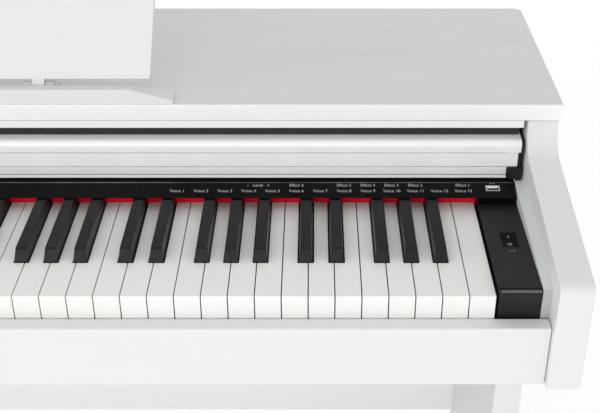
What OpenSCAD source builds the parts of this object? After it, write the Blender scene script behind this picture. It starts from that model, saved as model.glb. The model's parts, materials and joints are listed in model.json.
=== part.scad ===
// Digital piano with 88 keys, on a panel stand with three pedals.
// It has a sliding key lid and a folding music rest.
// Millimetres, +Z up, X to the player's right, Y away from the player.
// The origin is on the floor, below the middle of the whole object.
// Inside at_keys() the origin is at the middle of the keyboard instead: Y is counted
// from the white keys' front face and Z from the white keys' top.

/* [Keyboard] */
// Width of one octave
octave_w = 164.5; // [164:0.5:165.5]
// Length of the white key that shows
white_len = 149.5; // [148.5:0.5:149.5]
// Height of a black key above a white key
black_rise = 12; // [11:0.5:12]
// Gap between two white keys
key_gap = 1; // [0.8:0.1:1.2]
// Height of the white keys' top above the floor
key_top_z = 730; // [715:5:745]

/* [Body] */
// Distance from the keyboard's end to the side panel
cheek_w = 48; // [48:1:54]
// Thickness of the side panels and legs
board_t = 30; // [28:1:32]
// Thickness of the top board
top_t = 18; // [16:1:22]
// How far the top board stands out past each side
top_lip = 3; // [0:1:6]
// Angle of the lid's tracks
lid_slope = 4.4; // [4:0.1:4.6]

/* [Music rest] */
// Height of the rest's panel
rest_h = 200; // [160:5:200]
// Half width of the panel at its lower edge
rest_half_w = 292; // [250:2:296]
// Angle that the panel leans back
rest_lean = 18; // [12:1:24]

/* [Stand] */
// Height of each foot board
foot_h = 58; // [45:1:70]
// Height of the lower back panel
modesty_h = 440; // [380:10:460]
// Distance from the middle pedal to each outer one
pedal_pitch = 75; // [60:1:90]

/* [Hidden] */
$fn = 48;

// Clearances: a shaft in its hole, and two faces that pass each other.
fit = 0.05;
face_gap = 0.5;

// Where the body's faces are, from the keyboard's origin.
white_w = octave_w / 7;
white_count = 52;
keys_x = white_w * white_count / 2;
inner_x = keys_x + cheek_w;
outer_x = inner_x + board_t;
body_front = -23;
body_back = 405;
body_bottom = -88;
body_top = 85;
opening_y = 163;
panel_t = 12;
keybed_top = body_bottom + panel_t;
rail_top = -23.5;
rail_front = -15.5;
rail_back = -1;
back_y = body_back - panel_t;

// The stand, from the keyboard's origin in Y and from the floor in Z.
foot_front = 5;
foot_back = 421;
leg_front = 149;
leg_back = 417;
leg_x = inner_x - 6;
glide_h = 4;
body_z = key_top_z + body_bottom;
middle_y = (body_front + foot_back) / 2;

// A key's own sizes.
black_y = 49;
head_len = black_y - face_gap;
key_depth = 20;
apron_depth = 26;
apron_t = 2.5;
tail_top = -1.5;
tail_bottom = -16;
key_end = 223;
hub_y = 200;
hub_inset = 1.6;
pivot = [215, -8];
pivot_r = 2;

// The lid's tracks and the lid's place on them.
slope_rise = tan(lid_slope);
lid_front = 160;
lid_end = 385;
nose_top = 63.2;
plate_t = 12;
lip_bottom = 22.6;
lip_top = 35;
lid_half_w = inner_x - 4;
band_half_w = lid_half_w - 2.5;
lip_half_w = keys_x + 31;
track_w = 8;
track_x = inner_x - track_w;
track_t = 10;
roller_r = 11.5;
shaft_r = 3;
shaft_y = 372;
shaft_z = track_z(shaft_y) + (roller_r + 0.3) / cos(lid_slope);
ear_x = 600;

// The controls on the end blocks.
block_top = 5.7;
block_end = 152;
control_x = keys_x + 22.5;
rocker_y = 77;
rocker_w = 13;
rocker_l = 19;
rocker_pin_r = 1.2;
knob_y = 60;
button_y = 108;

// The music rest.
base_half_w = 316;
base_taper = 43;
base_h = 10.5;
rest_t = 8;
hinge_x = 183;
hinge_y = 190;
hinge_z = body_top + top_t + 7;

// The pedal box, in Y from the keyboard's origin and in Z from the floor.
box_front = 250;
box_back = 330;
box_bottom = 26;
box_top = 104;
box_wall = 12;
pedal_z = 62;
pedal_pivot_y = 300;
pedal_tip_y = 168;
pedal_t = 8;
pin_r = 4;

function track_z(y) = 7.7 + slope_rise * y;
function arm_z(y) = 30 + 0.165 * y;
function nose_line(y) = nose_top + slope_rise * (y - lid_front);

// Points of the round corner at b, between the lines to a and c.
function corner(a, b, c, r, steps = 8) =
    let (u = (a - b) / norm(a - b))
    let (v = (c - b) / norm(c - b))
    let (open = acos(u * v))
    let (mid = b + (u + v) / norm(u + v) * r / sin(open / 2))
    let (from = b + u * r / tan(open / 2) - mid)
    let (to = b + v * r / tan(open / 2) - mid)
    let (start = atan2(from.y, from.x))
    let (turn = (atan2(to.y, to.x) - start + 540) % 360 - 180)
    [for (i = [0:steps]) mid + r * [cos(start + turn * i / steps), sin(start + turn * i / steps)]];

// A polygon with a radius at each point, where 0 leaves the point sharp.
module rounded(points, radii) {
    n = len(points);
    polygon([
        for (i = [0:n - 1])
            each radii[i] == 0 ? [points[i]]
                : corner(points[(i + n - 1) % n], points[i], points[(i + 1) % n], radii[i])
    ]);
}

// An outline in Y and Z, drawn out from x0 to x1.
module along_x(x0, x1) {
    translate([x0, 0, 0]) rotate([90, 0, 90]) linear_extrude(x1 - x0) children();
}

// An outline in X and Z, drawn out from y0 to y1.
module along_y(y0, y1) {
    translate([0, y1, 0]) rotate([90, 0, 0]) linear_extrude(y1 - y0) children();
}

// A block between two opposite corners.
module block(low, high) {
    translate(low) cube(high - low);
}

module at_keys() {
    translate([0, -middle_y, key_top_z]) children();
}

module at_floor() {
    translate([0, -middle_y, 0]) children();
}

module mirrored() {
    mirror([1, 0, 0]) children();
}

module both_sides() {
    children();
    mirrored() children();
}

// ---- Body ----

module side_panel() {
    along_x(inner_x, outer_x)
        rounded(
            [
                [body_front, body_bottom], [body_front, arm_z(body_front)],
                [opening_y, arm_z(opening_y)], [opening_y, body_top],
                [body_back, body_top], [body_back, body_bottom]
            ],
            [3, 9, 28, 0, 0, 3]
        );
}

module side_panel_left() {
    color("whitesmoke") at_keys() mirrored() side_panel();
}

module side_panel_right() {
    color("whitesmoke") at_keys() side_panel();
}

module top_board() {
    top_x = outer_x + top_lip;
    color("gainsboro") at_keys() translate([0, 0, body_top]) linear_extrude(top_t)
        rounded(
            [
                [-top_x, opening_y - 1], [top_x, opening_y - 1],
                [top_x, body_back], [-top_x, body_back]
            ],
            [2, 2, 10, 10]
        );
}

module top_front_strip() {
    strip_x = inner_x - 3.5;
    strip_t = 8;
    color("whitesmoke") at_keys()
        block([-strip_x, opening_y, body_top - strip_t], [strip_x, opening_y + 20, body_top]);
}

module back_board() {
    jack_x = [500, 590];
    jack_z = [20, 60];
    color("whitesmoke") at_keys() difference() {
        block([-inner_x, back_y, keybed_top], [inner_x, body_back, body_top]);
        block([jack_x[0], back_y - 1, jack_z[0]], [jack_x[1], body_back + 1, jack_z[1]]);
    }
}

speaker_x = 430;
speaker_y = 305;
speaker_r = 56;

module keybed_board() {
    color("gainsboro") at_keys() difference() {
        block([-inner_x, rail_back, body_bottom], [inner_x, body_back, keybed_top]);
        for (x = [-speaker_x, speaker_x])
            translate([x, speaker_y, body_bottom - 1]) cylinder(r = speaker_r, h = panel_t + 2);
    }
}

module front_rail() {
    color("whitesmoke") at_keys()
        block([-inner_x + 0.4, rail_front, body_bottom], [inner_x - 0.4, rail_back, rail_top]);
}

// The fascia's sloping face, with a wall behind the felt and a cheek past each end of it.
fascia_front = 136.5;
fascia_low = 13.4;
fascia_bottom = fascia_low - 0.2;
fascia_top = [155.5, 19.8];
fascia_wall = [153, 157];
usb_middle = [keys_x + 17, 148];
usb_size = [14, 7, 9];

module at_usb() {
    slope = atan2(fascia_top.y - fascia_low, fascia_top.x - fascia_front);
    face_z = fascia_low + (usb_middle.y - fascia_front) * tan(slope);
    translate([usb_middle.x, usb_middle.y, face_z]) rotate([slope, 0, 0]) children();
}

module fascia_panel() {
    fascia_x = track_x - 1;
    cheek_low = block_top + 0.2;
    color("black") at_keys() difference() {
        union() {
            along_x(-fascia_x, fascia_x)
                polygon([
                    [fascia_front, fascia_bottom], [fascia_front, fascia_low],
                    fascia_top, [fascia_wall[1], fascia_top.y],
                    [fascia_wall[1], -0.8], [fascia_wall[0], -0.8],
                    [fascia_wall[0], fascia_bottom]
                ]);
            both_sides()
                block([keys_x + 2, fascia_front + 1, cheek_low],
                    [fascia_x, fascia_wall[0] + 1, fascia_low]);
        }
        at_usb() translate([-usb_size.x / 2, -usb_size.y / 2, -usb_size.z])
            cube([usb_size.x, usb_size.y, usb_size.z + 5]);
    }
}

module felt_strip() {
    color("crimson") at_keys()
        block([-keys_x - 1.5, 150, -0.8], [keys_x + 1.5, fascia_wall[0], fascia_bottom]);
}

// A block with a fine groove behind its front edge and a shallow step down its front.
module end_block_shape() {
    block_bottom = -70;
    groove = [3, 4.8, block_top - 0.7];
    step_z = -7;
    along_x(keys_x + 2, track_x)
        rounded(
            [
                [0.8, block_bottom], [0.8, step_z], [0.3, step_z], [0.3, block_top],
                [groove[0], block_top], [groove[0], groove[2]],
                [groove[1], groove[2]], [groove[1], block_top],
                [block_end, block_top], [block_end, block_bottom]
            ],
            [0, 0, 0, 1.8, 0, 0, 0, 0, 0, 0]
        );
}

module end_block_left() {
    color("dimgray") at_keys() mirrored() difference() {
        end_block_shape();
        translate([control_x, knob_y, -20]) cylinder(r = 3 + fit, h = 40);
        translate([control_x, button_y, -6]) cylinder(r = 5, h = 20);
    }
}

module end_block_right() {
    color("dimgray") at_keys() difference() {
        end_block_shape();
        translate([control_x - rocker_w / 2 - 0.4, rocker_y - rocker_l / 2 - 1.2, -10])
            cube([rocker_w + 0.8, rocker_l + 2.4, 30]);
        translate([control_x - rocker_w / 2 - 4, rocker_y, 0]) rotate([0, 90, 0])
            cylinder(r = rocker_pin_r + fit, h = rocker_w + 8);
    }
}

module power_rocker() {
    rest_tilt = 8;
    pin_half = rocker_w / 2 + 3;
    color("black") at_keys() translate([control_x, rocker_y, 0]) rotate([rest_tilt, 0, 0]) {
        along_x(-rocker_w / 2, rocker_w / 2)
            polygon([
                [-rocker_l / 2, -1], [-rocker_l / 2, 5.6], [0, 4.6], [rocker_l / 2, 5.6],
                [rocker_l / 2, -1], [3, -4], [-3, -4]
            ]);
        translate([-pin_half, 0, 0]) rotate([0, 90, 0]) cylinder(r = rocker_pin_r, h = 2 * pin_half);
    }
}

module volume_knob() {
    color("dimgray") at_keys() mirrored() translate([control_x, knob_y, 0]) {
        translate([0, 0, -12]) cylinder(r = 3, h = 18.2);
        difference() {
            translate([0, 0, block_top + 0.4]) cylinder(r = 9, h = 7);
            translate([-0.6, 3, block_top + 6.8]) cube([1.2, 7, 2]);
        }
    }
}

module function_button() {
    color("dimgray") at_keys() mirrored() translate([control_x, button_y, -3.8])
        cylinder(r = 4.7, h = 11.3);
}

module usb_socket() {
    wall = 0.6;
    tongue = [10.6, 1.8, 7];
    color("silver") at_keys() at_usb() {
        difference() {
            translate([-usb_size.x / 2, -usb_size.y / 2, -usb_size.z])
                cube([usb_size.x, usb_size.y, usb_size.z + 0.4]);
            translate([-usb_size.x / 2 + wall, -usb_size.y / 2 + wall, -usb_size.z + 1])
                cube([usb_size.x - 2 * wall, usb_size.y - 2 * wall, usb_size.z]);
        }
        translate([-tongue.x / 2, 0.6, -usb_size.z + 1]) cube(tongue);
    }
}

// ---- Lid ----

// Each track is a thin strip behind the fascia and a deep filler beside the end block.
module lid_tracks() {
    track_front = 0.6;
    filler_bottom = -60;
    color("gainsboro") at_keys() both_sides()
        along_x(track_x, inner_x)
            polygon([
                [track_front, track_z(track_front)], [back_y, track_z(back_y)],
                [back_y, track_z(back_y) - track_t],
                [block_end, track_z(block_end) - track_t], [block_end, filler_bottom],
                [track_front, filler_bottom]
            ]);
}

module lid_panel() {
    groove_z = 50.6;
    nose_back = 177;
    color("white") at_keys() difference() {
        along_x(-lid_half_w, lid_half_w)
            rounded(
                [
                    [lid_front + 0.6, lip_top], [lid_front + 0.6, groove_z - 0.4],
                    [lid_front + 1.6, groove_z - 0.4], [lid_front + 1.6, groove_z + 0.4],
                    [lid_front, groove_z + 0.4], [lid_front, nose_top],
                    [lid_end, nose_line(lid_end)], [lid_end, nose_line(lid_end) - plate_t],
                    [nose_back, nose_line(nose_back) - plate_t], [nose_back, lip_top]
                ],
                [0, 0, 0, 0, 0, 6, 3, 3, 0, 0]
            );
        both_sides()
            block([band_half_w, lid_front - 1, lip_top - 1], [lid_half_w + 1, nose_back + 1, groove_z]);
    }
}

module lid_lip() {
    lip_back = 172;
    shelf_z = 25.4;
    color("white") at_keys() along_x(-lip_half_w, lip_half_w)
        rounded(
            [
                [lid_front - 1.4, lip_bottom], [lid_front - 1.4, shelf_z],
                [lid_front + 1.2, shelf_z], [lid_front + 1.2, shelf_z + 0.7],
                [lid_front + 0.2, shelf_z + 0.7], [lid_front + 0.2, lip_top - 0.5],
                [lid_front + 1.2, lip_top - 0.5], [lid_front + 1.2, lip_top],
                [lip_back, lip_top], [lip_back, lip_bottom]
            ],
            [1, 0.8, 0, 0, 0.8, 0, 0, 0, 0, 1]
        );
}

// A slide block under each end of the nose, and an ear for the shaft at each side.
module lid_sliders() {
    slider = [lid_front - 2, lid_front + 26];
    slider_x = [lip_half_w + 0.3, inner_x - 1.6];
    skid = 0.3;
    ear_t = 4;
    ear = [shaft_y - 8, shaft_y + 8];
    color("black") at_keys() both_sides() {
        along_x(slider_x[0], slider_x[1])
            polygon([
                [slider[0], lip_bottom], [slider[0], lip_top], [slider[1], lip_top],
                [slider[1], lip_bottom + slope_rise * 28]
            ]);
        along_x(track_x + 0.3, slider_x[1])
            polygon([
                [slider[0], track_z(slider[0]) + skid], [slider[0], lip_top],
                [slider[1], lip_top], [slider[1], track_z(slider[1]) + skid]
            ]);
        difference() {
            along_x(ear_x, ear_x + ear_t)
                polygon([
                    [ear[0], shaft_z - 8], [ear[1], shaft_z - 8],
                    [ear[1], nose_line(ear[1]) - plate_t], [ear[0], nose_line(ear[0]) - plate_t]
                ]);
            translate([ear_x - 1, shaft_y, shaft_z]) rotate([0, 90, 0])
                cylinder(r = shaft_r + fit, h = ear_t + 2);
        }
    }
}

module lid_shaft() {
    shaft_x = inner_x - 1.5;
    roller_w = 5;
    color("silver") at_keys() translate([-shaft_x, shaft_y, shaft_z]) rotate([0, 90, 0]) {
        cylinder(r = shaft_r, h = 2 * shaft_x);
        for (x = [0, 2 * shaft_x - roller_w])
            translate([0, 0, x]) cylinder(r = roller_r, h = roller_w);
    }
}

// ---- Keys ----

// White key 0 is the lowest one. Letters count from 0 for C to 6 for B.
black_half = 6.3;
semitones = [0, 2, 4, 5, 7, 9, 11];
function seam(k) = k < 5 ? k * octave_w * 3 / 35 : octave_w * 3 / 7 + (k - 5) * octave_w * 4 / 49;
function letter(i) = (i + 5) % 7;
function key_left(i) = -keys_x + i * white_w;
function octave_left(i) = key_left(i) - letter(i) * white_w;
function tail_left(i) = i == 0 ? key_left(i) : octave_left(i) + seam(semitones[letter(i)]);
function tail_right(i) =
    i == white_count - 1 ? key_left(i) + white_w : octave_left(i) + seam(semitones[letter(i)] + 1);
function has_black(i) = letter(i) != 2 && letter(i) != 6 && i < white_count - 1;
function black_x(i) =
    octave_left(i) + (seam(semitones[letter(i)] + 1) + seam(semitones[letter(i)] + 2)) / 2;

// The part of a key behind the felt, from x0 to x1, with its hub on the pivot rod.
module key_tail(x0, x1, y0) {
    difference() {
        union() {
            block([x0, y0, tail_bottom], [x1, hub_y, tail_top]);
            block([x0 + hub_inset, hub_y - 1, tail_bottom], [x1 - hub_inset, key_end, tail_top]);
        }
        translate([x0 - 1, pivot[0], pivot[1]]) rotate([0, 90, 0])
            cylinder(r = pivot_r + fit, h = x1 - x0 + 2);
    }
}

module white_key(i) {
    x0 = key_left(i) + key_gap / 2;
    x1 = key_left(i) + white_w - key_gap / 2;
    t0 = tail_left(i) + key_gap / 2;
    t1 = tail_right(i) - key_gap / 2;
    block([x0, 0, -key_depth], [x1, head_len, 0]);
    block([x0, 0, -apron_depth], [x1, apron_t, -key_depth + 1]);
    block([t0, head_len - 1, -key_depth], [t1, white_len, 0]);
    key_tail(t0, t1, white_len - 1);
}

module black_key(i) {
    top_half = 5.1;
    top_front = 55.5;
    waist_half = 5.6;
    shoe = -8;
    translate([black_x(i), 0, 0]) {
        intersection() {
            along_y(black_y, white_len)
                polygon([
                    [-black_half, shoe], [-black_half, 0], [-top_half, black_rise],
                    [top_half, black_rise], [black_half, 0], [black_half, shoe]
                ]);
            along_x(-10, 10)
                rounded(
                    [
                        [black_y, shoe], [black_y, 1], [top_front, black_rise],
                        [white_len, black_rise], [white_len, shoe]
                    ],
                    [0, 0, 3, 0, 0]
                );
        }
        block([-waist_half, black_y + 2, tail_bottom], [waist_half, white_len, shoe + 1]);
        key_tail(-waist_half, waist_half, white_len - 1);
    }
}

module white_keys(first, last) {
    color("white") at_keys() for (i = [first:last]) white_key(i);
}

module black_keys(first, last) {
    color("dimgray") at_keys() for (i = [first:last]) if (has_black(i)) black_key(i);
}

first_high = 23;
top_c = 44;

// ---- Inside the body ----

// Ribs stand in the gaps between B and C, where the key hubs leave room.
module key_chassis() {
    rib_t = 3;
    rib = [205, 225];
    floor_t = 3;
    tray_y = [20, 232];
    riser_y = [122, 163];
    riser_top = -40;
    stop_top = -32;
    rib_x = [for (i = [2:7:white_count - 1]) key_left(i) - rib_t / 2];
    color("silver") at_keys() difference() {
        union() {
            block([-keys_x - 1, tray_y[0], keybed_top], [keys_x + 1, tray_y[1], keybed_top + floor_t]);
            block([-keys_x + 2, tray_y[0], keybed_top], [keys_x - 2, tray_y[0] + 12, stop_top]);
            block([-keys_x + 2, riser_y[0], keybed_top], [keys_x - 2, riser_y[1], riser_top]);
            for (x = concat(rib_x, [-keys_x - rib_t, keys_x]))
                block([x, rib[0], keybed_top], [x + rib_t, rib[1], pivot[1] + 6]);
        }
        block([-keys_x, riser_y[0] + 3, keybed_top + floor_t],
            [keys_x, riser_y[1] - 3, riser_top - 3]);
        translate([-keys_x - 5, pivot[0], pivot[1]]) rotate([0, 90, 0])
            cylinder(r = pivot_r + fit, h = 2 * keys_x + 10);
    }
}

module key_pivot_rod() {
    rod_x = keys_x + 4;
    color("silver") at_keys() translate([-rod_x, pivot[0], pivot[1]]) rotate([0, 90, 0])
        cylinder(r = pivot_r, h = 2 * rod_x);
}

module key_contact_board() {
    board_top = -38.4;
    dome_y = 142;
    color("darkgreen") at_keys() {
        block([-keys_x + 4, 124, -40], [keys_x - 4, 161, board_top]);
        for (i = [0:white_count - 1])
            translate([(tail_left(i) + tail_right(i)) / 2, dome_y, board_top])
                cylinder(r = 4, h = 12);
        for (i = [0:white_count - 1])
            if (has_black(i)) translate([black_x(i), dome_y, board_top]) cylinder(r = 4, h = 13);
    }
}

// The circuit board with its processor, memory, amplifier chips, cooler and capacitors.
module main_board() {
    low = [150, 255, -66];
    board = [190, 110, 1.6];
    color("darkgreen") at_keys() translate(low) {
        cube(board);
        for (x = [6, board.x - 6])
            for (y = [6, board.y - 6])
                translate([x, y, keybed_top - low.z]) cylinder(r = 3, h = low.z - keybed_top);
        translate([70, 40, board.z]) cube([24, 24, 2]);
        translate([110, 46, board.z]) cube([18, 12, 2]);
        translate([12, 70, board.z]) cube([50, 24, 22]);
        for (x = [20, 36, 52]) translate([x, 30, board.z]) cylinder(r = 6, h = 20);
    }
}

module speaker_drivers() {
    flange_r = 62;
    color("black") at_keys() for (x = [-speaker_x, speaker_x])
        translate([x, speaker_y, keybed_top]) rotate_extrude()
            polygon([
                [48, 0], [flange_r, 0], [flange_r, 3], [52, 3], [36, 26], [34, 30], [34, 46],
                [0, 46], [0, 22], [12, 22], [14, 18]
            ]);
}

module speaker_grilles() {
    rim_r = 64;
    hole_r = 54;
    bar_pitch = 12;
    color("black") at_keys() for (x = [-speaker_x, speaker_x])
        translate([x, speaker_y, body_bottom - 3]) {
            difference() {
                cylinder(r = rim_r, h = 3);
                translate([0, 0, -1]) cylinder(r = hole_r, h = 5);
            }
            for (i = [-4:4]) {
                half = sqrt(hole_r * hole_r - pow(abs(i) * bar_pitch + 2, 2)) + 2;
                translate([-half, i * bar_pitch - 2, 0]) cube([2 * half, 4, 3]);
            }
        }
}

// A plate in the back board's cut-out, with the power inlet and the pedal socket.
module rear_jack_panel() {
    middle = [545, 40];
    inlet_x = 20;
    color("black") at_keys() translate([middle[0], 0, middle[1]]) {
        difference() {
            union() {
                block([-44.6, body_back - 5, -19.6], [44.6, body_back, 19.6]);
                for (x = [-inlet_x, inlet_x]) block([x - 9, back_y - 8, -9], [x + 9, body_back - 4, 9]);
            }
            translate([inlet_x, body_back + 1, 0]) rotate([90, 0, 0]) cylinder(r = 3.2, h = 13);
            translate([-inlet_x, body_back + 1, 0]) rotate([90, 0, 0]) cylinder(r = 3.3, h = 20);
        }
        translate([inlet_x, body_back - 1, 0]) rotate([90, 0, 0]) cylinder(r = 1, h = 12);
    }
}

// Two headphone jacks in a small box under the keybed, facing the player.
jack_x = -520;
jack_pitch = 26;
jack_r = 3.25;
jack_depth = 30;
jack_z = body_bottom - 13;
box_y = [4, 60];

module headphone_box() {
    half_w = 32;
    color("black") at_keys() difference() {
        block([jack_x - half_w, box_y[0], body_bottom - 26], [jack_x + half_w, box_y[1], body_bottom]);
        for (x = [-jack_pitch / 2, jack_pitch / 2])
            translate([jack_x + x, box_y[0] + jack_depth, jack_z]) rotate([90, 0, 0])
                cylinder(r = jack_r, h = jack_depth + 1);
    }
}

// ---- Stand ----

// Each leg's bolts in Y and Z: one into the pedal box, two into the lower back panel.
bolt_r = 3;
bolt_reach = 28;
box_bolt = [box_back - 25, box_top - 20];
panel_bolts = [
    [leg_back - panel_t / 2, body_z - 60],
    [leg_back - panel_t / 2, body_z - modesty_h + 50]
];

module bolt_hole(bolt, x0, x1) {
    translate([x0, bolt.x, bolt.y]) rotate([0, 90, 0]) cylinder(r = bolt_r + fit, h = x1 - x0);
}

module stand_leg() {
    difference() {
        block([leg_x, leg_front, foot_h + glide_h], [leg_x + board_t, leg_back, body_z]);
        for (bolt = concat([box_bolt], panel_bolts)) bolt_hole(bolt, leg_x - 1, leg_x + board_t + 1);
    }
}

module stand_leg_left() {
    color("whitesmoke") at_floor() mirrored() stand_leg();
}

module stand_leg_right() {
    color("whitesmoke") at_floor() stand_leg();
}

module foot() {
    along_x(leg_x, outer_x)
        rounded(
            [
                [foot_front, glide_h], [foot_front, glide_h + foot_h * 0.6],
                [foot_front + 90, glide_h + foot_h], [foot_back, glide_h + foot_h],
                [foot_back, glide_h]
            ],
            [4, 14, 60, 6, 4]
        );
}

module foot_left() {
    color("whitesmoke") at_floor() mirrored() foot();
}

module foot_right() {
    color("whitesmoke") at_floor() foot();
}

module modesty_panel() {
    color("whitesmoke") at_floor() difference() {
        block([-leg_x, leg_back - panel_t, body_z - modesty_h], [leg_x, leg_back, body_z - 2]);
        both_sides() for (bolt = panel_bolts) bolt_hole(bolt, leg_x - bolt_reach - 2, leg_x + 1);
    }
}

slot_w = 22;
slot_z = [pedal_z - 24, pedal_z + 14];
pedal_x = [-pedal_pitch, 0, pedal_pitch];

// A long hollow board between the legs. Its bearing ribs hold each pedal's pins.
module pedal_box() {
    rib_t = 5;
    rib_x = slot_w / 2 + 2;
    color("whitesmoke") at_floor() difference() {
        union() {
            difference() {
                block([-leg_x, box_front, box_bottom], [leg_x, box_back, box_top]);
                block([-leg_x + box_wall, box_front + box_wall, box_bottom + box_wall],
                    [leg_x - box_wall, box_back - box_wall, box_top - box_wall]);
            }
            for (x = pedal_x)
                for (side = [-rib_x - rib_t, rib_x])
                    block([x + side, pedal_pivot_y - 12, box_bottom + 2],
                        [x + side + rib_t, pedal_pivot_y + 12, pedal_z + 10]);
            block([-20, box_back - 45, box_bottom + 1], [20, box_back - 5, box_bottom + 26]);
        }
        for (x = pedal_x)
            block([x - slot_w / 2, box_front - 1, slot_z[0]],
                [x + slot_w / 2, box_front + box_wall + 1, slot_z[1]]);
        for (x = pedal_x)
            translate([x - rib_x - rib_t - 1, pedal_pivot_y, pedal_z]) rotate([0, 90, 0])
                cylinder(r = pin_r + fit, h = 2 * (rib_x + rib_t) + 2);
        translate([0, box_back - 25, box_bottom - 1]) cylinder(r = 5 + fit, h = 24);
        both_sides() bolt_hole(box_bolt, leg_x - bolt_reach - 2, leg_x + 1);
    }
}

// A flat lever that widens into a round tip, on a cross pin.
module pedal(x) {
    tip_r = 15;
    root_half = 8;
    pin_half = slot_w / 2 + 7;
    neck_y = pedal_tip_y + 62;
    color("gold") at_floor() translate([x, 0, pedal_z]) {
        translate([0, 0, -pedal_t / 2]) linear_extrude(pedal_t) {
            translate([0, pedal_tip_y + tip_r]) circle(r = tip_r);
            polygon([
                [-tip_r, pedal_tip_y + tip_r], [tip_r, pedal_tip_y + tip_r],
                [root_half, neck_y], [root_half, pedal_pivot_y + 14],
                [-root_half, pedal_pivot_y + 14], [-root_half, neck_y]
            ]);
        }
        translate([-pin_half, pedal_pivot_y, 0]) rotate([0, 90, 0])
            cylinder(r = pin_r, h = 2 * pin_half);
    }
}

// The screw foot that carries the middle of the pedal box.
module pedal_box_adjuster() {
    color("black") at_floor() translate([0, box_back - 25, 0]) {
        cylinder(r = 16, h = 10);
        cylinder(r = 5, h = box_bottom + 8);
    }
}

module stand_bolts() {
    head_r = 7;
    color("silver") at_floor() both_sides() for (bolt = concat([box_bolt], panel_bolts))
        translate([leg_x + board_t, bolt.x, bolt.y]) rotate([0, -90, 0]) {
            translate([0, 0, -2.4]) cylinder(r = head_r, h = 2.4);
            cylinder(r = bolt_r, h = board_t + bolt_reach);
        }
}

module floor_glides() {
    color("dimgray") at_floor() both_sides() for (y = [foot_front + 30, foot_back - 30])
        translate([leg_x + 15, y, 0]) cylinder(r = 14, h = glide_h);
}

// ---- Music rest ----

module music_rest_base() {
    bar_front = opening_y + 1;
    bar_back = 184;
    slant = 9.5;
    top = base_half_w - base_taper;
    color("whitesmoke") at_keys() translate([0, 0, body_top + top_t]) intersection() {
        along_y(bar_front, bar_back)
            polygon([
                [-base_half_w, 0], [-base_half_w, 3], [-top, base_h], [top, base_h],
                [base_half_w, 3], [base_half_w, 0]
            ]);
        along_x(-base_half_w, base_half_w)
            rounded(
                [
                    [bar_front, 0], [bar_front, 2], [bar_front + slant, base_h],
                    [bar_back, base_h], [bar_back, 0]
                ],
                [0, 0, 1.5, 1, 0]
            );
    }
}

module at_rest_hinge() {
    translate([0, hinge_y, hinge_z]) rotate([-rest_lean, 0, 0]) children();
}

module music_rest_panel() {
    foot_gap = 7;
    flare = rest_h * 0.08;
    knuckle_r = 5;
    knuckle_w = 12;
    pin = 1.5;
    color("whitesmoke") at_keys() at_rest_hinge() {
        along_y(-rest_t / 2 - 1, rest_t / 2 - 1)
            rounded(
                [
                    [-rest_half_w, foot_gap], [rest_half_w, foot_gap],
                    [rest_half_w + flare, rest_h], [-rest_half_w - flare, rest_h]
                ],
                [3, 3, 24, 24]
            );
        for (x = [-hinge_x, hinge_x]) translate([x, 0, 0]) difference() {
            union() {
                translate([-knuckle_w / 2, 0, 0]) rotate([0, 90, 0])
                    cylinder(r = knuckle_r, h = knuckle_w);
                block([-knuckle_w / 2, -rest_t / 2 - 1, 0], [knuckle_w / 2, rest_t / 2 - 1, foot_gap + 1]);
            }
            translate([-knuckle_w, 0, 0]) rotate([0, 90, 0]) cylinder(r = pin + fit, h = 2 * knuckle_w);
        }
    }
}

// Each hinge has two knuckles on a leaf that is screwed to the top board, and a pin.
module music_rest_hinges() {
    leaf_t = 1.5;
    gap = 0.5;
    inner = 6 + gap;
    outer = 15;
    drop = body_top + top_t - hinge_z;
    color("silver") at_keys() for (x = [-hinge_x, hinge_x])
        translate([x, hinge_y, hinge_z]) {
            for (side = [-outer, inner]) {
                translate([side, 0, 0]) rotate([0, 90, 0]) cylinder(r = 4.5, h = outer - inner);
                block([side, -4, drop], [side + outer - inner, 4, 0]);
            }
            block([-outer, 4 - 1, drop], [outer, 20, drop + leaf_t]);
            translate([-outer, 0, 0]) rotate([0, 90, 0]) cylinder(r = 1.5, h = 2 * outer);
        }
}

side_panel_left();
side_panel_right();
top_board();
top_front_strip();
back_board();
keybed_board();
front_rail();
fascia_panel();
felt_strip();
end_block_left();
end_block_right();
lid_tracks();
lid_panel();
lid_lip();
lid_sliders();
lid_shaft();
white_keys(0, first_high - 1);  // white_keys_low
white_keys(first_high, top_c - 1);  // white_keys_high
black_keys(0, first_high - 1);  // black_keys_low
black_keys(first_high, top_c - 1);  // black_keys_high
white_keys(top_c, top_c);  // key_c7
white_keys(top_c + 1, top_c + 1);  // key_d7
white_keys(top_c + 2, top_c + 2);  // key_e7
white_keys(top_c + 3, top_c + 3);  // key_f7
white_keys(top_c + 4, top_c + 4);  // key_g7
white_keys(top_c + 5, top_c + 5);  // key_a7
white_keys(top_c + 6, top_c + 6);  // key_b7
white_keys(top_c + 7, top_c + 7);  // key_c8
black_keys(top_c, top_c);  // key_c7_sharp
black_keys(top_c + 1, top_c + 1);  // key_d7_sharp
black_keys(top_c + 3, top_c + 3);  // key_f7_sharp
black_keys(top_c + 4, top_c + 4);  // key_g7_sharp
black_keys(top_c + 5, top_c + 5);  // key_a7_sharp
key_chassis();
key_pivot_rod();
key_contact_board();
main_board();
speaker_drivers();
speaker_grilles();
usb_socket();
rear_jack_panel();
headphone_box();
power_rocker();
volume_knob();
function_button();
stand_leg_left();
stand_leg_right();
foot_left();
foot_right();
modesty_panel();
pedal_box();
pedal(-pedal_pitch);  // soft_pedal
pedal(0);  // sostenuto_pedal
pedal(pedal_pitch);  // damper_pedal
pedal_box_adjuster();
music_rest_base();
music_rest_panel();
music_rest_hinges();
stand_bolts();
floor_glides();
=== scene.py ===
"""The looks of a digital piano on a panel stand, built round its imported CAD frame."""
import json
import math

import bmesh
import bpy
from mathutils import Matrix, Vector

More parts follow.
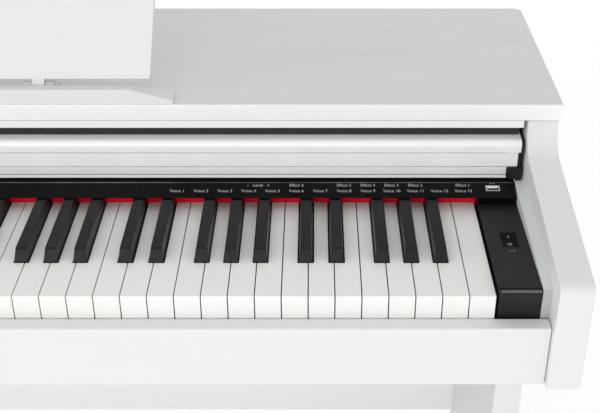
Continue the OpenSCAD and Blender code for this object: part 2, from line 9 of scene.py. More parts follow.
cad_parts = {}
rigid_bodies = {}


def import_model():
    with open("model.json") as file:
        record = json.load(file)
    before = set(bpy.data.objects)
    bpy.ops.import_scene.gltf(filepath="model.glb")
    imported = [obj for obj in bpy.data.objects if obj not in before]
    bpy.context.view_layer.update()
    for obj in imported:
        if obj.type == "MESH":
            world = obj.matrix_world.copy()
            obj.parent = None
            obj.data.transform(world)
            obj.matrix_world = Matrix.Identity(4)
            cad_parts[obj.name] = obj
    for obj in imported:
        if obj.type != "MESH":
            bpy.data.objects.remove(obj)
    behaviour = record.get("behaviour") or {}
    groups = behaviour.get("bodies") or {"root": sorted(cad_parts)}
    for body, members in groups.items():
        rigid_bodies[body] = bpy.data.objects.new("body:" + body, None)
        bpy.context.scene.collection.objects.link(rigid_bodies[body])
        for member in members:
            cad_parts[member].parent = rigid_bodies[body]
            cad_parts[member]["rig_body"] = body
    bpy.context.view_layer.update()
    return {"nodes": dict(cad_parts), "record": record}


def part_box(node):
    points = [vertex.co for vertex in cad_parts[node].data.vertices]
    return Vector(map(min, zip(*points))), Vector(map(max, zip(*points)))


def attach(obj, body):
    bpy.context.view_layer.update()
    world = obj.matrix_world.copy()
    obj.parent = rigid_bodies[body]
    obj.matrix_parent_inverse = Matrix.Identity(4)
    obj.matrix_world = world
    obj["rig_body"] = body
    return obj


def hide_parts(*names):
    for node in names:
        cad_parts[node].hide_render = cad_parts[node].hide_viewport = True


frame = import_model()
NODES = frame["nodes"]
SLOTS = {row["node"]: row["material_slot"] for row in frame["record"]["subparts"]}
MM = 0.001

# Reference places, all read from the frame.
TOP_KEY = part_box("key_c8")
KEYS_RIGHT = TOP_KEY[1].x
KEYS_FRONT = TOP_KEY[0].y
KEYS_TOP = TOP_KEY[1].z
WHITE_PITCH = TOP_KEY[0].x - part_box("key_b7")[0].x


# ---------------------------------------------------------------- materials

def linear(code):
    """A linear RGBA colour from a six-digit sRGB code."""
    def channel(text):
        v = int(text, 16) / 255
        return v / 12.92 if v <= 0.04045 else ((v + 0.055) / 1.055) ** 2.4
    return tuple(channel(code[i:i + 2]) for i in (0, 2, 4)) + (1.0,)


class Finish:
    """A material with a Principled shader, and short calls that add texture nodes to it."""

    def __init__(self, name, color, roughness, metallic=0.0, **sockets):
        self.material = bpy.data.materials.new(name)
        self.material.use_nodes = True
        self.tree = self.material.node_tree
        self.shader = self.tree.nodes["Principled BSDF"]
        self.shader.inputs["Base Color"].default_value = color
        self.shader.inputs["Roughness"].default_value = roughness
        self.shader.inputs["Metallic"].default_value = metallic
        for socket, value in sockets.items():
            self.shader.inputs[socket.replace("_", " ")].default_value = value
        self.coordinates = self.tree.nodes.new("ShaderNodeTexCoord").outputs["Object"]
        self.color = color
        self.height = None

    def link(self, source, target):
        self.tree.links.new(source, target)

    def noise(self, scale, stretch=(1, 1, 1), detail=3.0, roughness=0.55, distortion=0.0):
        mapping = self.tree.nodes.new("ShaderNodeMapping")
        mapping.inputs["Scale"].default_value = stretch
        self.link(self.coordinates, mapping.inputs["Vector"])
        node = self.tree.nodes.new("ShaderNodeTexNoise")
        node.inputs["Scale"].default_value = scale
        node.inputs["Detail"].default_value = detail
        node.inputs["Roughness"].default_value = roughness
        node.inputs["Distortion"].default_value = distortion
        self.link(mapping.outputs["Vector"], node.inputs["Vector"])
        return node.outputs["Fac"]

    def steps(self, factor, low, high, low_value=0.0, high_value=1.0):
        node = self.tree.nodes.new("ShaderNodeMapRange")
        node.inputs["From Min"].default_value = low
        node.inputs["From Max"].default_value = high
        node.inputs["To Min"].default_value = low_value
        node.inputs["To Max"].default_value = high_value
        self.link(factor, node.inputs["Value"])
        return node.outputs["Result"]

    def tint(self, factor, other):
        """Blends the base colour towards another by a texture."""
        node = self.tree.nodes.new("ShaderNodeMix")
        node.data_type = "RGBA"
        self.link(factor, node.inputs["Factor"])
        source = self.shader.inputs["Base Color"]
        if source.is_linked:
            self.link(source.links[0].from_socket, node.inputs[6])
        else:
            node.inputs[6].default_value = self.color
        node.inputs[7].default_value = other
        self.link(node.outputs[2], source)

    def gloss(self, factor, low, high):
        """Roughness that runs from low to high with a texture."""
        self.link(self.steps(factor, 0.3, 0.7, low, high), self.shader.inputs["Roughness"])

    def bump(self, factor, strength, distance):
        node = self.tree.nodes.new("ShaderNodeBump")
        node.inputs["Strength"].default_value = strength
        node.inputs["Distance"].default_value = distance
        self.link(factor, node.inputs["Height"])
        if self.height is not None:
            self.link(self.height, node.inputs["Normal"])
        self.height = node.outputs["Normal"]
        self.link(self.height, self.shader.inputs["Normal"])


ALONG_X = (0.05, 1.0, 1.0)
ALONG_Z = (1.0, 1.0, 0.05)


def laminate(name, code, grain_code, grain, depth, amount):
    """White foil on board: long soft streaks, with fine pores pressed into them."""
    f = Finish(name, linear(code), 0.45, Specular_IOR_Level=0.35)
    streaks = f.noise(190, grain, detail=5, roughness=0.6, distortion=0.3)
    pores = f.noise(900, grain, detail=2, roughness=0.5)
    f.tint(f.steps(streaks, 0.50, 0.75, 0.0, amount), linear(grain_code))
    f.tint(f.steps(pores, 0.60, 0.72, 0.0, amount * 0.8), linear(grain_code))
    f.gloss(f.noise(60, grain), 0.40, 0.50)
    f.bump(f.steps(pores, 0.52, 0.68, 1.0, 0.0), 0.3, depth)
    f.bump(streaks, 0.15, depth)
    return f.material


def raw_board(name):
    f = Finish(name, linear("D9D8D4"), 0.6)
    f.tint(f.steps(f.noise(260, detail=5), 0.4, 0.7, 0.0, 0.5), linear("C7C5BF"))
    f.bump(f.noise(700), 0.15, 0.0002)
    return f.material


def gloss_black(name):
    f = Finish(name, linear("090809"), 0.28, Specular_IOR_Level=0.1)
    f.tint(f.steps(f.noise(14, detail=4), 0.35, 0.65), linear("101011"))
    f.gloss(f.noise(40, detail=5), 0.22, 0.34)
    f.bump(f.noise(900, detail=2), 0.03, 0.0001)
    return f.material


def satin_black(name):
    f = Finish(name, linear("19191B"), 0.45, Specular_IOR_Level=0.26)
    f.tint(f.steps(f.noise(18, detail=4), 0.35, 0.65), linear("1F1F22"))
    f.gloss(f.noise(60, detail=4), 0.38, 0.5)
    f.bump(f.noise(2600, detail=1), 0.16, 0.0001)
    return f.material


def felt(name):
    f = Finish(name, linear("FF0838"), 0.95, Sheen_Weight=0.3, Sheen_Roughness=0.5)
    f.shader.inputs["Sheen Tint"].default_value = linear("FF3050")
    f.tint(f.steps(f.noise(900, detail=6, roughness=0.8), 0.35, 0.7), linear("F2002C"))
    f.bump(f.noise(1500, detail=5, roughness=0.8), 0.8, 0.0006)
    return f.material


def track_plastic(name, code, other):
    f = Finish(name, linear(code), 0.45)
    f.tint(f.steps(f.noise(25), 0.35, 0.65, 0.0, 0.4), linear(other))
    f.bump(f.noise(1800, detail=1), 0.08, 0.0001)
    return f.material


def gloss_white(name, code, other):
    f = Finish(name, linear(code), 0.22, Coat_Weight=0.6, Coat_Roughness=0.1)
    f.tint(f.steps(f.noise(6, ALONG_X, detail=2), 0.35, 0.65, 0.0, 0.3), linear(other))
    f.gloss(f.noise(50, ALONG_X), 0.18, 0.26)
    f.bump(f.noise(350, detail=2), 0.02, 0.0002)
    return f.material


def metal(name, code, low, high, grain=(1, 1, 1)):
    f = Finish(name, linear(code), low, metallic=1.0)
    f.gloss(f.noise(120, grain, detail=5), low, high)
    f.tint(f.steps(f.noise(14, detail=4), 0.4, 0.7, 0.0, 0.4), linear("8E8E90"))
    f.bump(f.noise(900, grain, detail=2), 0.05, 0.0001)
    return f.material


def white_key_plastic(name):
    f = Finish(name, linear("F2F2EF"), 0.32, Specular_IOR_Level=0.4, Coat_Weight=0.15)
    f.shader.inputs["Coat Roughness"].default_value = 0.14
    f.tint(f.steps(f.noise(4, detail=1), 0.3, 0.7, 0.0, 0.25), linear("EEEDE8"))
    f.gloss(f.noise(160, detail=2), 0.28, 0.34)
    f.bump(f.noise(2400, detail=1), 0.03, 0.00005)
    return f.material


def black_key_plastic(name):
    f = Finish(name, linear("111112"), 0.42, Specular_IOR_Level=0.26)
    f.tint(f.steps(f.noise(500, (1, 0.06, 1), detail=4), 0.45, 0.7, 0.0, 0.8), linear("19191A"))
    f.gloss(f.noise(300, (1, 0.06, 1), detail=3), 0.32, 0.46)
    f.bump(f.noise(900, (1, 0.06, 1), detail=3), 0.12, 0.0001)
    return f.material


def circuit_board(name):
    f = Finish(name, linear("1D5B33"), 0.4)
    f.tint(f.steps(f.noise(260, detail=1), 0.55, 0.58), linear("2E7A48"))
    f.bump(f.noise(260, detail=1), 0.3, 0.0001)
    return f.material


def speaker_black(name):
    f = Finish(name, linear("18181A"), 0.6)
    f.tint(f.steps(f.noise(300, detail=5), 0.4, 0.7), linear("242426"))
    f.bump(f.noise(1200, detail=3), 0.2, 0.0002)
    return f.material


def rubber(name):
    f = Finish(name, linear("2C2C2D"), 0.75)
    f.tint(f.steps(f.noise(120, detail=4), 0.4, 0.7), linear("38383A"))
    f.bump(f.noise(1500, detail=2), 0.25, 0.0002)
    return f.material


def brush(name):
    f = Finish(name, linear("3C3C3F"), 0.8, Specular_IOR_Level=0.2)
    f.tint(f.steps(f.noise(2600, ALONG_Z, detail=1), 0.4, 0.6), linear("2C2C2E"))
    f.bump(f.noise(2600, ALONG_Z, detail=1), 0.6, 0.0003)
    return f.material


def ink(name, code):
    f = Finish(name, linear(code), 0.5)
    f.tint(f.steps(f.noise(2500, detail=2), 0.5, 0.8, 0.0, 0.3), linear("9A9A9A"))
    return f.material


MATERIALS = {
    "white_laminate": laminate("white_laminate", "E3E4E5", "DADCDE", ALONG_X, 0.00002, 0.25),
    # The embossing is the foil's own; its darker tone is painted shade on the up-facing tops of the
    # top board and the music rest base.
    "embossed_white_laminate":
        laminate("embossed_white_laminate", "DADBDD", "C8CACD", ALONG_X, 0.00008, 0.4),
    "raw_board": raw_board("raw_board"),
    "black_gloss_plastic": gloss_black("black_gloss_plastic"),
    "red_felt": felt("red_felt"),
    "black_satin_plastic": satin_black("black_satin_plastic"),
    "grey_plastic_track": track_plastic("grey_plastic_track", "DCE0E0", "D2D6D7"),
    "white_gloss_lid": gloss_white("white_gloss_lid", "FBFCFD", "F6F8F8"),
    "steel": metal("steel", "BDBDC0", 0.28, 0.42),
    "white_key_plastic": white_key_plastic("white_key_plastic"),
    "black_key_plastic": black_key_plastic("black_key_plastic"),
    "circuit_board": circuit_board("circuit_board"),
    "speaker_black": speaker_black("speaker_black"),
    "pedal_brass": metal("pedal_brass", "D9B36A", 0.14, 0.3, (1, 0.1, 1)),
    "rubber_grey": rubber("rubber_grey"),
}
# A slightly darker copy of the white laminate for the legs: the upright grain is real, the darker tone
# is painted shade.
PAINTED_SHADE_UPRIGHT_LAMINATE = laminate("painted_shade_upright_laminate", "DFE0E1", "D6D8DA", ALONG_Z, 0.00002, 0.25)
LEGEND_INK = ink("legend_ink", "B4B4B4")
BRIGHT_METAL = metal("bright_metal", "E6E6E6", 0.35, 0.5)
BRIGHT_METAL.node_tree.nodes["Principled BSDF"].inputs["Metallic"].default_value = 0.35
# Dark bristle finish for the strip of painted shade above the lid.
PAINTED_SHADE_BRUSH = brush("painted_shade_bristle")
# A darker copy of the track plastic for the tracks' front faces: painted shade.
TRACK_FRONT_SHADE = track_plastic("track_front_shade", "BABCBE", "B2B5B6")
# Pale grey metal for the painted highlight along the end blocks' front edges.
BLOCK_HIGHLIGHT_TRIM = metal("block_highlight_trim", "6E6E72", 0.4, 0.5)
# Grey metal for the painted highlight along the fascia's top edge.
FASCIA_HIGHLIGHT_TRIM = metal("fascia_highlight_trim", "3E3E42", 0.4, 0.5)
# A greyer copy of the lid's gloss white for the lip: painted shade.
LIP_SHADED_WHITE = gloss_white("lip_shaded_white", "ECEEEF", "E6E8EA")
# Grey for the painted shade lines in the lid's grooves.
SHADE_LINE_GREY = track_plastic("shade_line_grey", "8E9193", "868A8C")
HINGE_WHITE = track_plastic("hinge_white", "D2D4D6", "CACCCE")
# A brighter copy of the white laminate for the panel under the keybed: painted light.
PAINTED_LIGHT_MODESTY_LAMINATE = laminate("painted_light_modesty_laminate", "ECEDEE", "E4E6E8", ALONG_X, 0.00002, 0.25)
# A brighter, grainless edge band: the band's grainless finish is real, its brighter tone is painted
# light on the front faces.
PAINTED_LIGHT_EDGE_BAND = laminate("painted_light_edge_band", "F4F5F6", "EEEFF0", ALONG_X, 0.00001, 0.15)


# ---------------------------------------------------------------- pieces

def paint(obj, material):
    obj.data.materials.clear()
    obj.data.materials.append(material)


def piece(name, mesh, body, material):
    obj = bpy.data.objects.new(name, mesh)
    bpy.context.scene.collection.objects.link(obj)
    paint(obj, material)
    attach(obj, body)
    return obj


def body_of(node):
    return NODES[node]["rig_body"]


def round_edges(obj, width, segments=3, angle=28):
    bevel = obj.modifiers.new("round_edges", "BEVEL")
    bevel.width = width
    bevel.segments = segments
    bevel.limit_method = "ANGLE"
    bevel.angle_limit = math.radians(angle)
    bevel.harden_normals = True
    bevel.use_clamp_overlap = True


def smooth(mesh, angle=28):
    for face in mesh.polygons:
        face.use_smooth = True
    mesh.set_sharp_from_angle(angle=math.radians(angle))


def finished(node, width, segments=3, material=None):
    """A piece that has a CAD node's shape, with its hard edges rounded."""
    bm = bmesh.new()
    bm.from_mesh(NODES[node].data)
    bmesh.ops.remove_doubles(bm, verts=bm.verts, dist=2e-6)
    bmesh.ops.dissolve_limit(bm, angle_limit=math.radians(0.6), verts=bm.verts, edges=bm.edges)
    mesh = bpy.data.meshes.new(node + "_finished")
    bm.to_mesh(mesh)
    bm.free()
    smooth(mesh)
    slot = SLOTS[node]
    obj = piece(node + "_finished", mesh, body_of(node), material or MATERIALS[slot])
    round_edges(obj, width, segments)
    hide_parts(node)
    return obj


def repaint(obj, material, chosen):
    """Gives a second material to the faces whose normal is chosen."""
    obj.data.materials.append(material)
    for face in obj.data.polygons:
        if chosen(face.normal):
            face.material_index = len(obj.data.materials) - 1


def text_mesh(words, size):
    """Flat lettering centred on its own origin, as mesh data."""
    curve = bpy.data.curves.new("lettering", "FONT")
    curve.body = words
    curve.size = size
    curve.align_x = "CENTER"
    curve.align_y = "CENTER"
    curve.extrude = 0.03 * MM
    holder = bpy.data.objects.new("lettering", curve)
    bpy.context.scene.collection.objects.link(holder)
    bpy.context.view_layer.update()
    mesh = bpy.data.meshes.new_from_object(holder.evaluated_get(bpy.context.evaluated_depsgraph_get()))
    bpy.data.objects.remove(holder)
    bpy.data.curves.remove(curve)
    return mesh


def lettering(name, body, rows):
    """One piece out of rows of (words, size, matrix)."""
    bm = bmesh.new()
    for words, size, matrix in rows:
        mesh = text_mesh(words, size)
        mesh.transform(matrix)
        bm.from_mesh(mesh)
        bpy.data.meshes.remove(mesh)
    mesh = bpy.data.meshes.new(name)
    bm.to_mesh(mesh)
    bm.free()
    return piece(name, mesh, body, LEGEND_INK)


# Every node first gets its slot's material, and then the ones that show get round edges.
for node, obj in NODES.items():
    paint(obj, MATERIALS[SLOTS[node]])

BOARD_EDGE = 1.2 * MM
for node in ("side_panel_left", "side_panel_right"):
    finished(node, 1.6 * MM)
for node in ("stand_leg_left", "stand_leg_right"):
    finished(node, BOARD_EDGE, material=PAINTED_SHADE_UPRIGHT_LAMINATE)
finished("modesty_panel", BOARD_EDGE, material=PAINTED_LIGHT_MODESTY_LAMINATE)
for node in ("foot_left", "foot_right", "pedal_box", "back_board"):
    finished(node, BOARD_EDGE)
# The top board's sides and the front strip take the brighter edge band, painted light on their front
# faces.
top_finish = finished("top_board", 2 * MM)
repaint(top_finish, PAINTED_LIGHT_EDGE_BAND, lambda normal: abs(normal.z) < 0.5)
finished("top_front_strip", 0.8 * MM, material=PAINTED_LIGHT_EDGE_BAND)
finished("front_rail", 1.5 * MM)
base_finish = finished("music_rest_base", 0.8 * MM)
# The base's top faces take the darker embossed laminate, painted shade on the tops.
repaint(base_finish, MATERIALS["embossed_white_laminate"], lambda normal: normal.z > 0.95)
finished("music_rest_panel", 1.5 * MM)
finished("fascia_panel", 0.4 * MM)
finished("end_block_left", 0.7 * MM)
finished("end_block_right", 0.7 * MM)
finished("lid_panel", 0.5 * MM)
# The lip takes the greyer copy of the lid's white, painted shade.
finished("lid_lip", 0.4 * MM, material=LIP_SHADED_WHITE)
finished("lid_sliders", 0.6 * MM)
track_finish = finished("lid_tracks", 0.4 * MM)
# The tracks' front faces take the darker copy, painted shade.
repaint(track_finish, TRACK_FRONT_SHADE, lambda normal: normal.y < -0.7)
finished("power_rocker", 0.5 * MM, material=MATERIALS["black_gloss_plastic"])
finished("volume_knob", 0.8 * MM)
finished("function_button", 0.6 * MM)
finished("headphone_box", 1.5 * MM)
finished("rear_jack_panel", 0.6 * MM)
for node in ("soft_pedal", "sostenuto_pedal", "damper_pedal"):
    finished(node, 2.2 * MM, 5)
finished("pedal_box_adjuster", 1.0 * MM)
finished("floor_glides", 0.8 * MM)
finished("stand_bolts", 0.7 * MM)
finished("speaker_grilles", 0.5 * MM)
finished("music_rest_hinges", 0.4 * MM, material=HINGE_WHITE)
for node in sorted(NODES):
    if "white_keys" in node or (node.startswith("key_") and SLOTS[node] == "white_key_plastic"):
        finished(node, 0.7 * MM)
    if "black_keys" in node or (node.startswith("key_") and SLOTS[node] == "black_key_plastic"):
        finished(node, 0.9 * MM)

# ---------------------------------------------------------------- legends and small trim

# The fascia's sloping face runs from just above the felt to the fascia's highest edge.
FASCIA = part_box("fascia_panel")
FACE_LOW = Vector((0, FASCIA[0].y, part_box("felt_strip")[1].z + 0.2 * MM))
FACE_HIGH = Vector((0, FASCIA[1].y - 1.5 * MM, FASCIA[1].z))
FACE_SLOPE = math.atan2(FACE_HIGH.z - FACE_LOW.z, FACE_HIGH.y - FACE_LOW.y)


def on_fascia(x, share):
    """A matrix that lays a flat shape on the fascia, share of the way up its face."""
    place = FACE_LOW.lerp(FACE_HIGH, share) + Vector((x, 0, 0.06 * MM))
    return Matrix.Translation(place) @ Matrix.Rotation(FACE_SLOPE, 4, "X")


def key_middle(step):
    """The middle of the white key that many steps below the top one."""
    return KEYS_RIGHT - WHITE_PITCH * (step + 0.5)


# Generic legends stand in two rows above the top white keys.
VOICES = 13
EFFECT_STEPS = (0, 2, 3, 4, 5, 7)
LEVEL_STEP = 8.6
LOWER_ROW = 0.44
UPPER_ROW = 0.8
LEGEND_SIZE = 4.8 * MM
rows = [("Voice %d" % (VOICES - step), LEGEND_SIZE, on_fascia(key_middle(step), LOWER_ROW))
        for step in range(VOICES)]
rows += [("Effect %d" % (number + 1), LEGEND_SIZE, on_fascia(key_middle(step), UPPER_ROW))
         for number, step in enumerate(EFFECT_STEPS)]
rows.append(("-   Level   +", LEGEND_SIZE, on_fascia(key_middle(LEVEL_STEP), UPPER_ROW)))
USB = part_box("usb_socket")
USB_X = (USB[0].x + USB[1].x) / 2
rows.append(("5 V", 3.6 * MM, on_fascia(USB_X, 0.93)))
lettering("fascia_legends", "piano", rows)


def joint_place(name):
    """Where a joint's axis passes, from the record."""
    joints = frame["record"]["behaviour"]["joints"]
    return Vector(next(joint["pos_m"] for joint in joints if joint["name"] == name))


def ring(name, half, outer_half, height, matrix, body, material):
    """A flat rectangular frame round an opening, half by half inside, laid down by a matrix."""
    bm = bmesh.new()
    loops = []
    for (w, d), z in ((half, 0), (outer_half, 0), (outer_half, height), (half, height)):
        corners = ((-w, -d), (w, -d), (w, d), (-w, d))
        loops.append([bm.verts.new((x, y, z)) for x, y in corners])
    for i, loop in enumerate(loops):
        following = loops[(i + 1) % len(loops)]
        for k in range(4):
            m = (k + 1) % 4
            bm.faces.new((loop[k], following[k], following[m], loop[m]))
    bmesh.ops.recalc_face_normals(bm, faces=bm.faces)
    bm.transform(matrix)
    mesh = bpy.data.meshes.new(name)
    bm.to_mesh(mesh)
    bm.free()
    smooth(mesh)
    obj = piece(name, mesh, body, material)
    round_edges(obj, height * 0.3, 2)
    return obj


def prism_x(name, outline, x0, x1, body, material):
    """An outline of (y, z) points, drawn out from x0 to x1."""
    bm = bmesh.new()
    ends = [[bm.verts.new((x, y, z)) for y, z in outline] for x in (x0, x1)]
    count = len(outline)
    for i in range(count):
        j = (i + 1) % count
        bm.faces.new((ends[0][i], ends[0][j], ends[1][j], ends[1][i]))
    for end in ends:
        bm.faces.new(end)
    bmesh.ops.recalc_face_normals(bm, faces=bm.faces)
    mesh = bpy.data.meshes.new(name)
    bm.to_mesh(mesh)
    bm.free()
    smooth(mesh)
    return piece(name, mesh, body, material)


# The power rocker's two marks, and a bezel round its opening.
ROCKER = joint_place("power_rocker_switch")
ROCKER_TILT = math.radians(8)
ROCKER_DIP = math.atan(1 / 9.5)
ROCKER_FACE = 5.2 * MM
MARK_OFFSET = 5 * MM
END_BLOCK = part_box("end_block_right")
rocker_frame = Matrix.Translation(ROCKER) @ Matrix.Rotation(ROCKER_TILT, 4, "X")
rows = []
for mark, side in (("I", 1), ("O", -1)):
    spot = Matrix.Translation((0, side * MARK_OFFSET, ROCKER_FACE))
    spot = spot @ Matrix.Rotation(side * ROCKER_DIP, 4, "X")
    rows.append((mark, 5 * MM, rocker_frame @ spot))
lettering("rocker_marks", "power_rocker", rows)
bezel_place = Matrix.Translation((ROCKER.x, ROCKER.y, END_BLOCK[1].z))
ring("rocker_bezel", (7 * MM, 10.8 * MM), (7.5 * MM, 11.3 * MM), 0.3 * MM, bezel_place, "piano",
     MATERIALS["black_gloss_plastic"])
BLOCK_LEGEND_AHEAD = 17.5 * MM
place = Matrix.Translation(
    (ROCKER.x, ROCKER.y - BLOCK_LEGEND_AHEAD, END_BLOCK[1].z + 0.03 * MM))
lettering("block_legend", "piano", [("1 / 0", 3 * MM, place)])

# A pale grey strip along each end block's front edge, a painted highlight.
HIGHLIGHT_OUTLINE = [(0.15, 3.9), (0.4, 4.9), (1.1, 5.5), (1.9, 5.6), (1.9, 5.2), (1.2, 5.1), (0.8, 4.6),
        (0.5, 3.9)]
for node in ("end_block_left", "end_block_right"):
    low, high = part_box(node)
    prism_x(node + "_highlight_strip", [(KEYS_FRONT + y * MM, KEYS_TOP + z * MM) for y, z in HIGHLIGHT_OUTLINE],
            low.x + 1.5 * MM, high.x - 1 * MM, "piano", BLOCK_HIGHLIGHT_TRIM)

# Behind the fascia a black sheet hides the keys' tails, painted shade for the dark gap there; a thin
# grey bead along the fascia's top edge is a painted highlight.
TAIL_SHADE_COVER = [(0, -1), (0, -0.2), (38, -3.2), (38, -4)]
prism_x("key_tail_shade_cover", [(FASCIA[1].y + y * MM, FASCIA[1].z + z * MM) for y, z in TAIL_SHADE_COVER],
        FASCIA[0].x + 2 * MM, FASCIA[1].x - 2 * MM, "piano",
        MATERIALS["black_satin_plastic"])
# The grey bead is a painted highlight on the fascia's top edge.
EDGE_HIGHLIGHT_OUTLINE = [(-2.4, -0.35), (-2.1, 0.25), (-1.1, 0.35), (-1.1, -0.05)]
prism_x("fascia_highlight_strip", [(FASCIA[1].y + y * MM, FASCIA[1].z + z * MM) for y, z in EDGE_HIGHLIGHT_OUTLINE],
        FASCIA[0].x + 1 * MM, FASCIA[1].x - 1 * MM, "piano", FASCIA_HIGHLIGHT_TRIM)

# The USB socket's bright rim and its pale contact bar, between the face's two ends in Y.
FACE_FRONT_Y, FACE_BACK_Y, USB_Y = 136.5, 155.5, 148
usb_place = on_fascia(USB_X, (USB_Y - FACE_FRONT_Y) / (FACE_BACK_Y - FACE_FRONT_Y))
ring("usb_rim", (5.9 * MM, 2.4 * MM), (6.5 * MM, 3.0 * MM), 0.3 * MM, usb_place, "piano",
     BRIGHT_METAL)
bar_place = usb_place @ Matrix.Translation((0, 1.5 * MM, -0.4 * MM))
ring("usb_contact_bar", (0.4 * MM, 0.2 * MM), (5.2 * MM, 1.0 * MM), 0.5 * MM, bar_place, "piano",
     MATERIALS["white_key_plastic"])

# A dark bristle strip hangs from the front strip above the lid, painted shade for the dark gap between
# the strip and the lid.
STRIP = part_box("top_front_strip")
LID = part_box("lid_panel")
LID_SLOPE_DEG = 4.4
LID_RISE = math.tan(math.radians(LID_SLOPE_DEG))
NOSE_TOP = KEYS_TOP + 63.2 * MM


def lid_top(y):
    """The height of the lid's upper face at y."""
    return NOSE_TOP + LID_RISE * (y - LID[0].y)


SHADE_SEAL_FRONT = STRIP[0].y + 9.5 * MM
SHADE_SEAL_BACK = SHADE_SEAL_FRONT + 4 * MM
SHADE_SEAL_GAP = 0.6 * MM
prism_x("painted_shade_seal",
        [(SHADE_SEAL_FRONT, STRIP[0].z), (SHADE_SEAL_BACK, STRIP[0].z), (SHADE_SEAL_BACK, lid_top(SHADE_SEAL_BACK) + SHADE_SEAL_GAP),
         (SHADE_SEAL_FRONT, lid_top(SHADE_SEAL_FRONT) + SHADE_SEAL_GAP)],
        STRIP[0].x + 2 * MM, STRIP[1].x - 2 * MM, "piano", PAINTED_SHADE_BRUSH)

# Black caps close the nose's ends, each with a strip below it down to the slide block.
CAP_T = 1.8 * MM
CAP_DROP = 11 * MM
CAP_BACK = LID[0].y + 40 * MM
CAP_GROOVE_BACK = LID[0].y + 17 * MM
NOSE_R = 6 * MM
STRIP_FRONT = LID[0].y + 0.4 * MM
STRIP_BACK = LID[0].y + 16 * MM
GROOVE_Z = KEYS_TOP + 50.6 * MM
SLIDER_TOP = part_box("lid_lip")[1].z
ARC_STEPS = 8
nose_arc = []
for i in range(ARC_STEPS + 1):
    turn = math.radians(90 * i / ARC_STEPS)
    y = LID[0].y + NOSE_R * (1 - math.cos(turn))
    nose_arc.append((y, NOSE_TOP - NOSE_R + NOSE_R * math.sin(turn)))
cap_outline = [(LID[0].y, GROOVE_Z)] + nose_arc
cap_outline += [(CAP_BACK, lid_top(CAP_BACK) - 0.3 * MM), (CAP_BACK, lid_top(CAP_BACK) - CAP_DROP),
                (CAP_GROOVE_BACK, GROOVE_Z)]
for side, label in ((1, "right"), (-1, "left")):
    lid_end = LID[1].x if side > 0 else LID[0].x
    prism_x("lid_end_cap_" + label, cap_outline, lid_end, lid_end + side * CAP_T, "lid",
            MATERIALS["black_satin_plastic"])
    band_end = lid_end - side * 2.5 * MM
    strip_outline = [(STRIP_FRONT, SLIDER_TOP), (STRIP_FRONT, GROOVE_Z - 0.2 * MM),
                     (STRIP_BACK, GROOVE_Z - 0.2 * MM), (STRIP_BACK, SLIDER_TOP)]
    prism_x("lid_end_strip_" + label, strip_outline, band_end, band_end + side * 3 * MM, "lid",
            MATERIALS["black_satin_plastic"])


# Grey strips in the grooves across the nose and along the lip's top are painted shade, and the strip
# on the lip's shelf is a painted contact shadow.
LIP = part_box("lid_lip")
SHELF_TOP = LIP[0].z + 2.8 * MM
SHADE_LINES = {
    "lid_groove_shade": (LID[0].y + 0.7 * MM, LID[0].y + 1.5 * MM, GROOVE_Z - 0.35 * MM, GROOVE_Z + 0.35 * MM),
    "lip_groove_shade": (LID[0].y + 0.7 * MM, LID[0].y + 1.1 * MM, LIP[1].z - 0.45 * MM, LIP[1].z - 0.05 * MM),
    "shelf_contact_shadow": (LID[0].y + 0.4 * MM, LID[0].y + 1.1 * MM, SHELF_TOP + 0.05 * MM,
                   SHELF_TOP + 0.65 * MM),
}
for name, (front, back, low, high) in SHADE_LINES.items():
    prism_x(name, [(front, low), (front, high), (back, high), (back, low)],
            LIP[0].x + 1 * MM, LIP[1].x - 1 * MM, "lid", SHADE_LINE_GREY)


# ---------------------------------------------------------------- screws and pedal slots

def screw_heads(name, places, outward, radius, body, material):
    """Pan-head screws with a cross recess, one at each place, all facing one way."""
    bm = bmesh.new()
    turn = Vector(outward).to_track_quat("Z", "Y").to_matrix().to_4x4()
    recess_top = 0.62
    profile = [(0.55, recess_top), (0.85, 0.5), (1.0, 0.2), (1.0, 0.0)]
    sides = 20
    for place in places:
        loops = []
        for share, height in profile:
            loops.append([
                bm.verts.new(Vector(place) + turn.to_3x3() @ Vector((
                    share * radius * math.cos(2 * math.pi * k / sides),
                    share * radius * math.sin(2 * math.pi * k / sides), height * radius)))
                for k in range(sides)])
        arm, deep = 0.42 * radius, 0.3 * radius
        width = 0.1 * radius
        cross = [(arm, -width), (arm, width), (width, width), (width, arm), (-width, arm),
                 (-width, width), (-arm, width), (-arm, -width), (-width, -width), (-width, -arm),
                 (width, -arm), (width, -width)]
        rim, bottom = (
            [bm.verts.new(Vector(place) + turn.to_3x3() @ Vector((x, y, z))) for x, y in cross]
            for z in (recess_top * radius, deep))
        for k in range(len(cross)):
            m = (k + 1) % len(cross)
            bm.faces.new((rim[k], rim[m], bottom[m], bottom[k]))
        bm.faces.new(bottom)
        for upper, lower in zip(loops, loops[1:]):
            for k in range(sides):
                m = (k + 1) % sides
                bm.faces.new((upper[k], upper[m], lower[m], lower[k]))
        bm.faces.new(list(reversed(loops[-1])))
        edges = [bm.edges.get((ring_[k], ring_[(k + 1) % len(ring_)])) for ring_ in (loops[0], rim)
                 for k in range(len(ring_))]
        bmesh.ops.triangle_fill(bm, use_beauty=True, edges=edges)
    bmesh.ops.recalc_face_normals(bm, faces=bm.faces)
    mesh = bpy.data.meshes.new(name)
    bm.to_mesh(mesh)
    bm.free()
    smooth(mesh, 40)
    return piece(name, mesh, body, material)


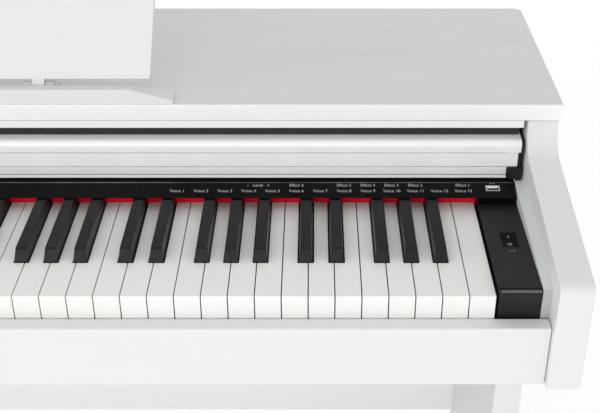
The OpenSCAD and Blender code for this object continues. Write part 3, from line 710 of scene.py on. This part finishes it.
# The back board's screws stand in two rows and down each end.
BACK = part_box("back_board")
INSET = 8 * MM
SCREW_R = 4 * MM
COLUMNS = 9
xs = [BACK[0].x + INSET + (BACK[1].x - BACK[0].x - 2 * INSET) * i / (COLUMNS - 1)
      for i in range(COLUMNS)]
places = [(x, BACK[1].y, z) for x in xs for z in (BACK[0].z + INSET, BACK[1].z - INSET)]
places += [(x, BACK[1].y, (BACK[0].z + BACK[1].z) / 2) for x in (xs[0], xs[-1])]
screw_heads("back_screws", places, (0, 1, 0), SCREW_R, "piano", MATERIALS["steel"])

# The keybed's screws stand round its edge, heads down.
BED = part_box("keybed_board")
BED_COLUMNS = 7
END_INSET, FRONT_INSET, BACK_INSET = 60 * MM, 30 * MM, 100 * MM
bed_span = BED[1].x - BED[0].x - 120 * MM
xs = [BED[0].x + END_INSET + bed_span * i / (BED_COLUMNS - 1) for i in range(BED_COLUMNS)]
places = [(x, y, BED[0].z) for x in xs for y in (BED[0].y + FRONT_INSET, BED[1].y - BACK_INSET)]
screw_heads("keybed_screws", places, (0, 0, -1), SCREW_R, "piano", MATERIALS["steel"])

# A black bezel lines each pedal's slot in the pedal box.
PEDAL_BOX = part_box("pedal_box")
SLOT_MIDDLE = 57 * MM
BEZEL_INSIDE = (10.6 * MM, 18.6 * MM)
BEZEL_OUTSIDE = (14 * MM, 22 * MM)
for node in ("soft_pedal", "sostenuto_pedal", "damper_pedal"):
    low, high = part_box(node)
    stand_up = Matrix.Translation(((low.x + high.x) / 2, PEDAL_BOX[0].y, SLOT_MIDDLE))
    ring(node + "_bezel", BEZEL_INSIDE, BEZEL_OUTSIDE, 1.2 * MM,
         stand_up @ Matrix.Rotation(math.radians(90), 4, "X"), "piano",
         MATERIALS["black_satin_plastic"])


# ---------------------------------------------------------------- camera, lights and floor

camera_data = bpy.data.cameras.new("camera")
camera = bpy.data.objects.new("camera", camera_data)
bpy.context.scene.collection.objects.link(camera)
LOOK_DOWN_DEG = 29.33
camera_data.sensor_width = 36
camera_data.lens = 61.7
camera_data.shift_x = -0.024
camera_data.shift_y = -0.12
camera.location = (KEYS_RIGHT - 0.1585, KEYS_FRONT - 0.711, KEYS_TOP + 0.561)
camera.rotation_euler = (math.radians(90 - LOOK_DOWN_DEG), 0, 0)
bpy.context.scene.camera = camera


def softbox(name, place, target, size, power):
    """A rectangular area light that faces the target; size in metres, power in watts."""
    data = bpy.data.lights.new(name, "AREA")
    data.shape = "RECTANGLE"
    data.size, data.size_y = size
    data.energy = power
    obj = bpy.data.objects.new(name, data)
    obj.location = place
    obj.rotation_mode = "QUATERNION"
    obj.rotation_quaternion = (Vector(target) - Vector(place)).to_track_quat("-Z", "Y")
    bpy.context.scene.collection.objects.link(obj)


MIDDLE = (0, 0, 0.6)
softbox("front_light", (-0.8, -3.6, 1.9), MIDDLE, (3.4, 2.0), 42)
softbox("right_light", (3.2, -1.2, 1.7), MIDDLE, (2.0, 2.0), 9)
softbox("left_light", (-3.4, -0.6, 1.8), MIDDLE, (2.0, 2.0), 20)
softbox("back_light", (0.5, 3.6, 2.0), MIDDLE, (3.4, 2.0), 14)

world = bpy.data.worlds.new("studio")
bpy.context.scene.world = world
world.use_nodes = True
WORLD_STRENGTH = 0.7
sky = world.node_tree.nodes["Background"]
sky.inputs["Color"].default_value = (1, 1, 1, 1)
sky.inputs["Strength"].default_value = WORLD_STRENGTH

floor_mesh = bpy.data.meshes.new("floor")
FLOOR = 14
FLOOR_GLOW = 0.18
corners = [(-FLOOR, -FLOOR, 0), (FLOOR, -FLOOR, 0), (FLOOR, FLOOR, 0), (-FLOOR, FLOOR, 0)]
floor_mesh.from_pydata(corners, [], [(0, 1, 2, 3)])
floor = bpy.data.objects.new("floor", floor_mesh)
bpy.context.scene.collection.objects.link(floor)
floor_finish = Finish("floor", linear("FBFBFB"), 0.8)
floor_finish.shader.inputs["Emission Color"].default_value = (1, 1, 1, 1)
floor_finish.shader.inputs["Emission Strength"].default_value = FLOOR_GLOW
paint(floor, floor_finish.material)
bpy.context.scene.view_settings.view_transform = "Standard"
